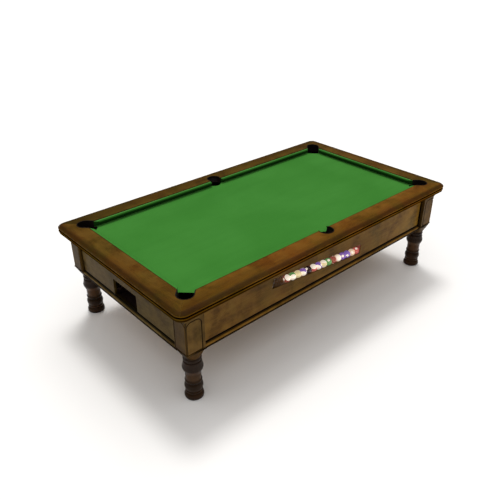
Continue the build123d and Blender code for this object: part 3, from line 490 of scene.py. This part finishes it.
post_wood = wood("cabinet_wood_z", "Z", POST, seed=6.3, rough=0.39, coat=0.03, spec=0.05,
                 crease_shade=0.03, left_dim=0.58, reach=0.034)
leg_wood = wood("leg_wood", "Z", LEG, seed=8.2, rough=0.30, coat=0.10, spec=0.10, patch=0.4,
                crease_shade=0.05, rim=0.12, reach=0.045, painted_light_bands=LEG_PAINTED_LIGHT)

GREENS = palette((54, 118, 42), (78, 144, 66), (34, 90, 26))                # base, lighter, darker
# painted highlight: the far cushions' greens run lighter, like lit cushion tops
CUSHION_GREENS_LIT = palette((58, 120, 48), (90, 150, 78), (32, 88, 26))
bed_felt = felt("bed_cloth", *GREENS)
# lit and shaded copies of one cloth: painted shade below the crown, strong on the far cushions, mild
# on the near ones
far_felt = felt("cushion_cloth", *CUSHION_GREENS_LIT, nap=0.8, sheen=0.3,
                nose_shade=((0.26, 0.44, 0.18), (0.10, 0.27, 0.07)))
near_felt = felt("cushion_cloth_front", *GREENS, nap=0.8,
                 nose_shade=((0.90, 0.93, 0.88), (0.66, 0.78, 0.62)))
pocket_rubber = rubber("pocket_rubber", srgb(16, 7, 6), rough=0.55)
core_rubber = rubber("core_rubber", srgb(150, 96, 60), rough=0.7)
steel = metal("zinc_steel", (0.62, 0.62, 0.60), rough=0.34)
brass = metal("brass", (0.72, 0.52, 0.22), rough=0.28)
slate = stone("slate")
sawn_x = raw_wood("sawn_wood_x", "X", srgb(120, 92, 58), srgb(168, 136, 92))
sawn_y = raw_wood("sawn_wood_y", "Y", srgb(118, 90, 56), srgb(164, 132, 90))
lining = raw_wood("lining_wood", "X", srgb(62, 36, 16), srgb(96, 60, 30))
return_lining = raw_wood("return_lining", "X", srgb(30, 10, 6), srgb(48, 18, 10))
trough_wood = raw_wood("trough_wood", "X", srgb(108, 72, 32), srgb(150, 108, 56))
clear_pane = acrylic("clear_acrylic")
knob_black = rubber("knob_black", srgb(18, 18, 20), rough=0.2)


# ---------------------------------------------------------------------------
# mesh helpers
# ---------------------------------------------------------------------------
def set_materials(mesh, materials):
    mesh.materials.clear()
    for material in materials:
        mesh.materials.append(material)


def link(name, bm, materials, node, body="table", weighted=True):
    """Turns a bmesh into a smooth object standing in for a CAD node."""
    mesh = bpy.data.meshes.new(name)
    bm.to_mesh(mesh)
    bm.free()
    for polygon in mesh.polygons:
        polygon.use_smooth = True
    set_materials(mesh, materials)
    obj = bpy.data.objects.new(name, mesh)
    bpy.context.scene.collection.objects.link(obj)
    if weighted:
        modifier = obj.modifiers.new("wn", "WEIGHTED_NORMAL")
        modifier.keep_sharp = True
        modifier.weight = 60
    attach(obj, body)
    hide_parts(node)
    return obj


def refined(node, material, bevel, limit=48):
    """The CAD node's own surface: coplanar faces joined, edges sharper than limit degrees eased."""
    bm = bmesh.new()
    bm.from_mesh(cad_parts[node].data)
    bmesh.ops.remove_doubles(bm, verts=bm.verts, dist=2e-5)
    bmesh.ops.dissolve_limit(bm, angle_limit=radians(0.6), verts=bm.verts, edges=bm.edges)
    for vert in [vert for vert in bm.verts if not vert.link_faces]:
        bm.verts.remove(vert)

    def sharper(edge, degrees):
        return len(edge.link_faces) == 2 and edge.calc_face_angle(0.0) > radians(degrees)

    edges = [edge for edge in bm.edges if sharper(edge, limit)]
    if edges:
        bmesh.ops.bevel(bm, geom=edges, offset=bevel, offset_type="OFFSET", segments=2,
                        profile=0.5, affect="EDGES", clamp_overlap=False, miter_outer="SHARP")
    bmesh.ops.recalc_face_normals(bm, faces=bm.faces)
    for edge in bm.edges:
        if sharper(edge, 46):
            edge.smooth = False
    link(node + "_fine", bm, [material], node)


def rounded(points):
    """Open outline with its corners cut twice at the quarter points; the ends stay."""
    for _ in range(2):
        cut = [points[0]]
        for a, b in zip(points, points[1:]):
            cut.append(tuple(0.75 * u + 0.25 * v for u, v in zip(a, b)))
            cut.append(tuple(0.25 * u + 0.75 * v for u, v in zip(a, b)))
        points = cut + [points[-1]]
    return points


def skin(bm, rings):
    """Quads between successive closed rings of equal length."""
    for a, b in zip(rings, rings[1:]):
        for k in range(len(a)):
            following = (k + 1) % len(a)
            bm.faces.new((a[k], a[following], b[following], b[k]))


def lathe(bm, profile, cx, cy, segments):
    """Closed turned solid; the profile's (radius, z) points start and end on the axis."""
    bottom = bm.verts.new((cx, cy, profile[0][1]))
    rings = [[bm.verts.new((cx + radius * math.cos(2 * math.pi * k / segments),
                            cy + radius * math.sin(2 * math.pi * k / segments), z))
              for k in range(segments)] for radius, z in profile[1:-1]]
    top = bm.verts.new((cx, cy, profile[-1][1]))
    first, last = rings[0], rings[-1]
    for k in range(segments):
        bm.faces.new((bottom, first[(k + 1) % segments], first[k]))
    skin(bm, rings)
    for k in range(segments):
        bm.faces.new((last[k], last[(k + 1) % segments], top))


# ---------------------------------------------------------------------------
# woodwork
# ---------------------------------------------------------------------------
for part, along_x, along_y, bevel, slot in (("rail_", rail_x, rail_y, 0.0010, "rail_wood"),
                                            ("panel_", panel_x, panel_y, 0.0011, "cabinet_wood")):
    for place, material in (("front", along_x), ("back", along_x),
                            ("left", along_y), ("right", along_y)):
        refined(part + place, material, bevel)
refined("base_mouldings_long", moulding_x, 0.0005)
refined("base_mouldings_short", moulding_y, 0.0005)
for place in CORNERS:
    refined("corner_post_" + place, post_wood, 0.0012)

# turned outline of a leg: (radius, height above its foot), millimetres
LEG_OUTLINE = [
    (0, 0), (58, 0), (62, 0.4), (64.4, 3), (66.6, 9), (67.2, 16), (66.4, 24), (64, 31),
    (60, 36.5), (56, 40.5), (54.2, 43.5), (54.2, 48), (56.6, 51), (59.2, 54.5), (59.4, 58.5),
    (57.6, 62.5), (55.6, 65), (55.4, 67), (57.6, 71), (61, 79), (63.4, 88), (64, 97),
    (63.2, 105), (61, 113), (57.6, 120), (54, 126), (52.8, 130.5), (53.6, 134), (57, 136.4),
    (59, 140), (59.3, 146), (57.6, 151), (54, 153.5), (53, 157), (53.4, 168), (54.4, 182),
    (54.4, 198), (54.8, 208), (57, 216), (61, 226), (66, 237), (70, 247), (71.8, 255),
    (71.6, 263), (68.8, 273), (66, 284), (64, 296), (63.2, 304), (61.8, 308.5), (58, 310.6),
    (56.4, 314), (57, 318.6), (60.4, 321), (62.8, 326), (63.2, 333), (61.6, 339),
    (58.8, 341.8), (57.8, 345), (57.6, 348), (0, 348)]
STEM_RADIUS, STEM_DEPTH = 0.0084, 0.092         # levelling foot's stem bore
PAD_RADIUS, PAD_DEPTH = 0.0300, 0.022           # levelling foot's pad recess
PAD_LIP_WIDTH, PAD_LIP_DEPTH = 0.0011, 0.0012   # chamfer at the recess's mouth
LEG_OUTER_FROM = 0.032                          # outline points beyond this radius are kept
BOLT_RADIUS, BOLT_DEPTH = 0.0063, 0.058         # bolt bore in the top


def turned_leg(place):
    low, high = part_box("leg_" + place)
    foot, head = low.z, high.z
    outside = rounded([(radius / 1000, foot + z / 1000) for radius, z in LEG_OUTLINE])
    profile = [(0.0, foot + STEM_DEPTH), (STEM_RADIUS, foot + STEM_DEPTH),
               (STEM_RADIUS, foot + PAD_DEPTH), (PAD_RADIUS, foot + PAD_DEPTH),
               (PAD_RADIUS, foot + PAD_LIP_DEPTH), (PAD_RADIUS + PAD_LIP_WIDTH, foot)]
    profile += [point for point in outside if point[0] > LEG_OUTER_FROM]
    profile += [(BOLT_RADIUS, head), (BOLT_RADIUS, head - BOLT_DEPTH), (0.0, head - BOLT_DEPTH)]
    bm = bmesh.new()
    lathe(bm, profile, (low.x + high.x) / 2, (low.y + high.y) / 2, segments=112)
    bmesh.ops.recalc_face_normals(bm, faces=bm.faces)
    link("leg_turned_" + place, bm, [leg_wood], "leg_" + place)


for place in CORNERS:
    turned_leg(place)

for node in sorted(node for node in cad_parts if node.startswith("pocket_liner_")):
    refined(node, pocket_rubber, 0.0006, limit=40)

# ---------------------------------------------------------------------------
# cloth on the bed: one sheet, turned down over the slate at its edges
# ---------------------------------------------------------------------------
POCKET_RADIUS = 0.0595
CORNER_POCKET = (1.275, 0.630)
MIDDLE_POCKET_Y = 0.657
THROAT_HALF = 0.0541        # half width of a corner pocket's straight throat
MOUTH_REACH = 0.0827        # corner pocket's centre to the slate edge across its mouth
MOUTH_ROUND = 0.005         # rounding of the throat's corners
CLOTH_MARGIN = 0.0005       # cloth stops this short of the CAD sheet's edge
CORNER_ARC_STEPS, MIDDLE_ARC_STEPS = 14, 40
# rounded upper edge: (distance inwards, height against the cloth's top)
CLOTH_EDGE = [(0.0, -0.0030), (0.0002, -0.0012), (0.0008, -0.0003), (0.0018, 0.0)]
CLOTH_UNDERSIDE = (0.0012, -0.0034)


def bed_outline(edge_x, edge_y, grow):
    """Counter-clockwise plan of the cloth, drawn in by grow from its edges and pockets."""
    radius = POCKET_RADIUS + grow
    edge_x, edge_y = edge_x - CLOTH_MARGIN - grow, edge_y - CLOTH_MARGIN - grow

    def mirrored(points, sign_x, sign_y):
        points = [(sign_x * x, sign_y * y) for x, y in points]
        return points if sign_x * sign_y > 0 else points[::-1]

    def arc(cx, cy, start, end, steps):
        angles = [start + (end - start) * k / steps for k in range(steps + 1)]
        return [(cx + radius * math.cos(angle), cy + radius * math.sin(angle)) for angle in angles]

    def corner(sign_x, sign_y):
        # in the +X +Y quadrant: end edge, arc, throat, across the mouth, throat, arc, long edge
        cx, cy = CORNER_POCKET
        half, mouth = THROAT_HALF + grow, MOUTH_REACH + grow
        diagonal = math.sqrt(0.5)

        def throat(inwards, across):
            return (cx + diagonal * (across - inwards), cy - diagonal * (across + inwards))

        depth = math.sqrt(radius * radius - half * half)
        end_edge = math.sqrt(max(radius * radius - (edge_x - cx) ** 2, 0))
        start = -math.asin(min(1.0, end_edge / radius))
        points = arc(cx, cy, start, -math.pi / 4 - math.atan2(depth, half), CORNER_ARC_STEPS)
        points[0] = (edge_x, points[0][1])
        cut = MOUTH_ROUND
        turn = [(mouth - cut, half), (mouth - cut * 0.3, half - cut * 0.08),
                (mouth - cut * 0.08, half - cut * 0.3), (mouth, half - cut)]
        points += [throat(inwards, across) for inwards, across in turn]
        points += [throat(inwards, -across) for inwards, across in turn[::-1]]
        start = -3 * math.pi / 4 - (math.pi / 2 - math.atan2(depth, half))
        end = math.pi - math.asin((edge_y - cy) / radius) - 2 * math.pi
        points += arc(cx, cy, start, end, CORNER_ARC_STEPS)
        points[-1] = (points[-1][0], edge_y)
        return mirrored(points, sign_x, sign_y)

    def middle(sign_y):
        start = math.asin((edge_y - MIDDLE_POCKET_Y) / radius)
        points = arc(0.0, MIDDLE_POCKET_Y, start, -math.pi - start, MIDDLE_ARC_STEPS)
        return mirrored(points, 1, sign_y)

    return (corner(1, 1) + middle(1) + corner(-1, 1)
            + corner(-1, -1) + middle(-1) + corner(1, -1))


def bed_cloth():
    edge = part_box("bed_cloth")[1]
    bm = bmesh.new()

    def ring(grow, drop):
        return [bm.verts.new((x, y, edge.z + drop)) for x, y in bed_outline(edge.x, edge.y, grow)]

    rings = [ring(*level) for level in CLOTH_EDGE]
    underside = ring(*CLOTH_UNDERSIDE)
    skin(bm, rings)
    skin(bm, [underside, rings[0]])
    bm.faces.new(rings[-1])
    bm.faces.new(underside[::-1])
    bmesh.ops.triangulate(bm, faces=[face for face in bm.faces if len(face.verts) > 4])
    bmesh.ops.recalc_face_normals(bm, faces=bm.faces)
    link("cloth_sheet", bm, [bed_felt], "bed_cloth")


bed_cloth()

# ---------------------------------------------------------------------------
# cushions: cloth drawn over rubber, tucked in at the rail
# ---------------------------------------------------------------------------
NOSE = 28.0     # nose's distance from the rail, millimetres
# section: (distance from the rail towards the bed, height against the rail top), millimetres
CUSHION_OUTLINE = [
    (0.0, -5.2), (0.5, -4.0), (2.2, -2.9), (6, -3.0), (12, -3.9), (18, -5.3), (23.4, -7.0),
    (26.6, -8.9), (27.9, -10.7), (NOSE, -12.2), (27.0, -14.4), (23.6, -18.4), (17.2, -25.8),
    (10.4, -35.0), (7.0, -39.2), (6.0, -42.4), (5.6, -44.5), (0.0, -44.5)]
CUSHION_SECTION = CUSHION_OUTLINE[:1] + rounded(CUSHION_OUTLINE[1:-2]) + CUSHION_OUTLINE[-2:]
SECTION_CENTRE = (9.0, -17.0)
# rounded end: (distance from the end in metres, shrinkage of the section in millimetres)
CUSHION_END = [(0.0, 2.4), (0.00035, 1.5), (0.0009, 0.8), (0.0018, 0.3), (0.0035, 0.05),
               (0.007, 0.0)]
END_LENGTH = CUSHION_END[-1][0]
CUSHION_STEPS = 56


def cushion(place, axis, side, tip_start, tip_end, run_start, run_end):
    """Cushion along axis on the side (-1 or +1) of the table.

    tips: the nose's ends.  runs: how much further each end reaches at the rail.
    """
    name = "cushion_cloth_" + place
    rng = random.Random(sum(map(ord, name)))
    phases = [rng.uniform(0, 6.28) for _ in range(4)]
    rail_inner = RAIL_INNER_Y if axis == "X" else RAIL_INNER_X
    stations = [("start", distance, shrink) for distance, shrink in CUSHION_END]
    stations += [("middle", i / CUSHION_STEPS, 0.0) for i in range(1, CUSHION_STEPS)]
    stations += [("end", distance, shrink) for distance, shrink in CUSHION_END[::-1]]
    bm = bmesh.new()
    rings = []
    for zone, step, shrink in stations:
        ring = []
        for reach, height in CUSHION_SECTION:
            out, up = reach - SECTION_CENTRE[0], height - SECTION_CENTRE[1]
            length = math.hypot(out, up)
            inwards, z = reach - out / length * shrink, height - up / length * shrink
            if reach < 0.01:
                inwards = 0.0
            set_back = (NOSE - inwards) / NOSE
            start, end = tip_start - run_start * set_back, tip_end + run_end * set_back
            if zone == "start":
                lengthwise = start + step
            elif zone == "end":
                lengthwise = end - step
            else:
                lengthwise = (start + END_LENGTH) + (end - start - 2 * END_LENGTH) * step
                # cloth under tension: waves well under half a millimetre
                wave = (0.16 * math.sin(lengthwise * 9.1 + phases[0])
                        + 0.10 * math.sin(lengthwise * 23.0 + phases[1])
                        + 0.05 * math.sin(lengthwise * 61 + phases[2]))
                if reach > 1.0:
                    inwards += wave * 0.5 * min(1, reach / 8)
                    z += wave * 0.6 if height > -30 else 0
            across = side * (rail_inner - inwards / 1000)
            x, y = (lengthwise, across) if axis == "X" else (across, lengthwise)
            ring.append(bm.verts.new((x, y, RAIL_TOP + z / 1000)))
        rings.append(ring)
    skin(bm, rings)
    bm.faces.new(rings[0][::-1])
    bm.faces.new(rings[-1])
    bmesh.ops.recalc_face_normals(bm, faces=bm.faces)
    link(name, bm, [near_felt if side < 0 else far_felt], "cushion_" + place)


CORNER_GAP = 0.085          # from the neighbouring cushion's nose line to this nose's end
TIP_X = RAIL_INNER_X - NOSE / 1000 - CORNER_GAP
TIP_Y = RAIL_INNER_Y - NOSE / 1000 - CORNER_GAP
MIDDLE_TIP = 0.0625
CORNER_RUN, MIDDLE_RUN = 0.036, 0.007
for place, side in (("front", -1), ("back", 1)):
    cushion(place + "_left", "X", side, -TIP_X, -MIDDLE_TIP, CORNER_RUN, MIDDLE_RUN)
    cushion(place + "_right", "X", side, MIDDLE_TIP, TIP_X, MIDDLE_RUN, CORNER_RUN)
for place, side in (("left", -1), ("right", 1)):
    cushion(place, "Y", side, -TIP_Y, TIP_Y, CORNER_RUN, CORNER_RUN)

# ---------------------------------------------------------------------------
# balls: 1 to 7 solid, 8 black, 9 to 15 striped in the hues of 1 to 7
# ---------------------------------------------------------------------------
HUES = palette((226, 206, 158), (128, 96, 176), (194, 92, 84), (132, 96, 172), (238, 204, 172),
               (98, 150, 84), (152, 76, 62), (40, 16, 16))
BALL_PITCH = BALL_DIAMETER + 0.00002
TROUGH_FALL = radians(5.69)                     # the row runs down towards +X
INK_OUT, INK_IN = 0.00012, -0.0004              # numeral's faces against the ball's surface
ink = rubber("number_ink", srgb(14, 14, 16), rough=0.3)

# directions as seen by a standing viewer: towards the viewer, up and to the right
VIEW, UP, RIGHT = (Vector((-0.583, -0.640, 0.500)), Vector((0.337, 0.370, 0.866)),
                   Vector((0.739, -0.674, 0.0)))
# the row from -X to +X: (number, where its stripe's pole or its solid's numeral points)
BALL_ROW = [
    (15, VIEW + 0.55 * UP + 0.45 * RIGHT), (14, VIEW - 0.55 * UP + 0.35 * RIGHT),
    (1, UP + 0.3 * RIGHT), (12, 0.7 * VIEW - 0.8 * UP), (8, VIEW - 0.7 * RIGHT + 0.3 * UP),
    (11, 0.8 * VIEW + 0.7 * UP), (10, 0.7 * VIEW - 0.75 * UP - 0.3 * RIGHT),
    (9, 0.35 * VIEW + UP), (6, VIEW + 0.5 * UP), (7, -UP), (13, VIEW + 0.25 * RIGHT),
    (4, -VIEW), (2, VIEW - 0.4 * UP), (5, VIEW + 0.1 * RIGHT), (3, VIEW + 0.75 * UP)]


def numeral_mesh(number):
    """Flat extruded numeral, z from -0.5 to 0.5."""
    curve = bpy.data.curves.new("num", "FONT")
    curve.body = str(number)
    curve.size = 0.0135 if number < 10 else 0.0115
    curve.align_x, curve.align_y = "CENTER", "CENTER"
    curve.extrude = 0.5
    curve.resolution_u = 3
    text = bpy.data.objects.new("num", curve)
    bpy.context.scene.collection.objects.link(text)
    depsgraph = bpy.context.evaluated_depsgraph_get()
    mesh = bpy.data.meshes.new_from_object(text.evaluated_get(depsgraph))
    bpy.data.objects.remove(text)
    return mesh


def add_numerals(bm, number):
    """Thin inked solids laid on the sphere, one on each disc."""
    mesh = numeral_mesh(number)
    xs = [vert.co.x for vert in mesh.vertices]
    ys = [vert.co.y for vert in mesh.vertices]
    middle_x, middle_y = (min(xs) + max(xs)) / 2, (min(ys) + max(ys)) / 2
    for side in (1, -1):
        verts = []
        for vert in mesh.vertices:
            y, z = vert.co.x - middle_x, vert.co.y - middle_y
            x = math.sqrt(max(BALL_RADIUS * BALL_RADIUS - y * y - z * z, 1e-9))
            lift = INK_OUT if vert.co.z > 0 else INK_IN
            point = Vector((x, y, z)).normalized() * (BALL_RADIUS + lift)
            verts.append(bm.verts.new((side * point.x, side * point.y, point.z)))
        for polygon in mesh.polygons:
            # the text mesh may hold a face twice, which bmesh refuses
            try:
                face = bm.faces.new([verts[i] for i in polygon.vertices])
                face.material_index = 1
            except ValueError:
                pass
    bpy.data.meshes.remove(mesh)


def ball(number, position, rotation):
    bm = bmesh.new()
    bmesh.ops.create_uvsphere(bm, u_segments=64, v_segments=32, radius=BALL_RADIUS)
    add_numerals(bm, number)
    bmesh.ops.recalc_face_normals(bm, faces=bm.faces)
    name = f"ball_{number:02d}"
    if number < 8:
        node, slot = "solid_balls", "ball_solid"
    elif number == 8:
        node, slot = "black_ball", "ball_black"
    else:
        node, slot = "striped_balls", "ball_striped"
    resin = ball_resin(name, HUES[(number - 1) % 8], striped=number > 8)
    obj = link(name, bm, [resin, ink], node, body="ball_row", weighted=False)
    for polygon in obj.data.polygons:
        if polygon.material_index == 1:
            polygon.use_smooth = False
    obj.matrix_world = Matrix.Translation(position) @ rotation.to_matrix().to_4x4()


def ball_row():
    low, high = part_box("solid_balls")
    lowest = Vector((high.x - BALL_RADIUS, (low.y + high.y) / 2, low.z + BALL_RADIUS))
    rng = random.Random(7)
    for i, (number, facing) in enumerate(BALL_ROW):
        distance = (len(BALL_ROW) - 1 - i) * BALL_PITCH
        offset = Vector((-distance * math.cos(TROUGH_FALL), 0, distance * math.sin(TROUGH_FALL)))
        axis = Vector((0, 0, 1)) if number > 8 else Vector((1, 0, 0))
        spin = Matrix.Rotation(rng.uniform(-0.5, 0.5), 3, axis).to_quaternion()
        turn = axis.rotation_difference(facing.normalized()) @ spin
        ball(number, lowest + offset, turn.to_euler())


ball_row()

# ---------------------------------------------------------------------------
# CAD nodes shown as they are, by finish
# ---------------------------------------------------------------------------
KEPT_NODES = [
    (slate, ["slate_left", "slate_middle", "slate_right"]),
    (steel, ["slate_screws", "rail_bolts", "leg_bolts", "release_gate", "release_rod"]
     + ["levelling_foot_" + place for place in CORNERS]),
    (core_rubber, ["cushion_rubber_cores"]),
    (sawn_x, ["slate_bearers", "cabinet_floor"]),
    (sawn_y, ["cross_beams"]),
    (lining, ["gully_front", "gully_back", "cross_gully"]),
    (trough_wood, ["ball_trough"]),
    (return_lining, ["return_runner", "catch_tray"]),
    (clear_pane, ["window_pane"]),
    (knob_black, ["release_knob"]),
    (brass, ["rod_bushes"]),
]
for material, nodes in KEPT_NODES:
    for node in nodes:
        set_materials(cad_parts[node].data, [material])


# ---------------------------------------------------------------------------
# stage, light, camera
# ---------------------------------------------------------------------------
def studio_floor():
    bm = bmesh.new()
    bmesh.ops.create_grid(bm, x_segments=2, y_segments=2, size=60.0)
    mesh = bpy.data.meshes.new("floor")
    bm.to_mesh(mesh)
    bm.free()
    floor = bpy.data.objects.new("studio_floor", mesh)
    floor.location = (0, 0, -0.0005)
    bpy.context.scene.collection.objects.link(floor)
    mesh.materials.append(new_material("floor_white").surface(
        {"Base Color": rgba(0.90), "Roughness": 0.9, "Specular IOR Level": 0.05}))


def studio_world():
    """White to the camera, brighter overhead for the light, and dim in reflections."""
    world = bpy.data.worlds.new("studio")
    bpy.context.scene.world = world
    tree = Nodes(world)
    up = tree.split(tree.node("ShaderNodeTexCoord").outputs["Generated"])[2]
    sky = tree.ramp(up, [(0.0, 0.22), (0.35, 0.34), (0.70, 0.72), (1.0, 1.0)])
    reflected = tree.ramp(up, [(0.0, 0.04), (0.45, 0.08), (0.62, 0.14), (0.80, 0.42), (1.0, 0.5)])
    ray = tree.node("ShaderNodeLightPath").outputs
    colour = tree.mix(ray["Is Glossy Ray"], sky, reflected)
    colour = tree.mix(ray["Is Camera Ray"], colour, 1.0)
    colour = tree.tint(colour, (1.0, 0.975, 0.95))
    background = tree.node("ShaderNodeBackground", {"Color": colour, "Strength": 1.08})
    tree.node("ShaderNodeOutputWorld", {"Surface": background.outputs[0]})


def sun(name, direction, strength, spread, colour):
    """Sun shining along direction, left out of reflections; spread in degrees."""
    light = bpy.data.lights.new(name, "SUN")
    light.energy, light.angle, light.color = strength, radians(spread), colour
    obj = bpy.data.objects.new(name, light)
    obj.rotation_euler = Vector(direction).to_track_quat("-Z", "Y").to_euler()
    bpy.context.scene.collection.objects.link(obj)
    obj.visible_glossy = False


def camera():
    lens = bpy.data.cameras.new("camera")
    lens.sensor_width = 36.0
    lens.lens = 40.74
    lens.clip_end = 200
    obj = bpy.data.objects.new("camera", lens)
    obj.location = (-2.9088, -3.0116, 2.7640)
    obj.rotation_euler = (radians(60), 0, radians(-42.357))
    bpy.context.scene.collection.objects.link(obj)
    bpy.context.scene.camera = obj


studio_floor()
studio_world()
sun("key", direction=(-0.30, -0.45, -1.25), strength=1.25, spread=15, colour=(1.0, 0.985, 0.955))
sun("side", direction=(-0.66, -0.40, -1.25), strength=0.55, spread=34, colour=(1.0, 0.99, 0.99))
camera()
bpy.context.scene.view_settings.view_transform = "Standard"
bpy.context.scene.view_settings.look = "None"
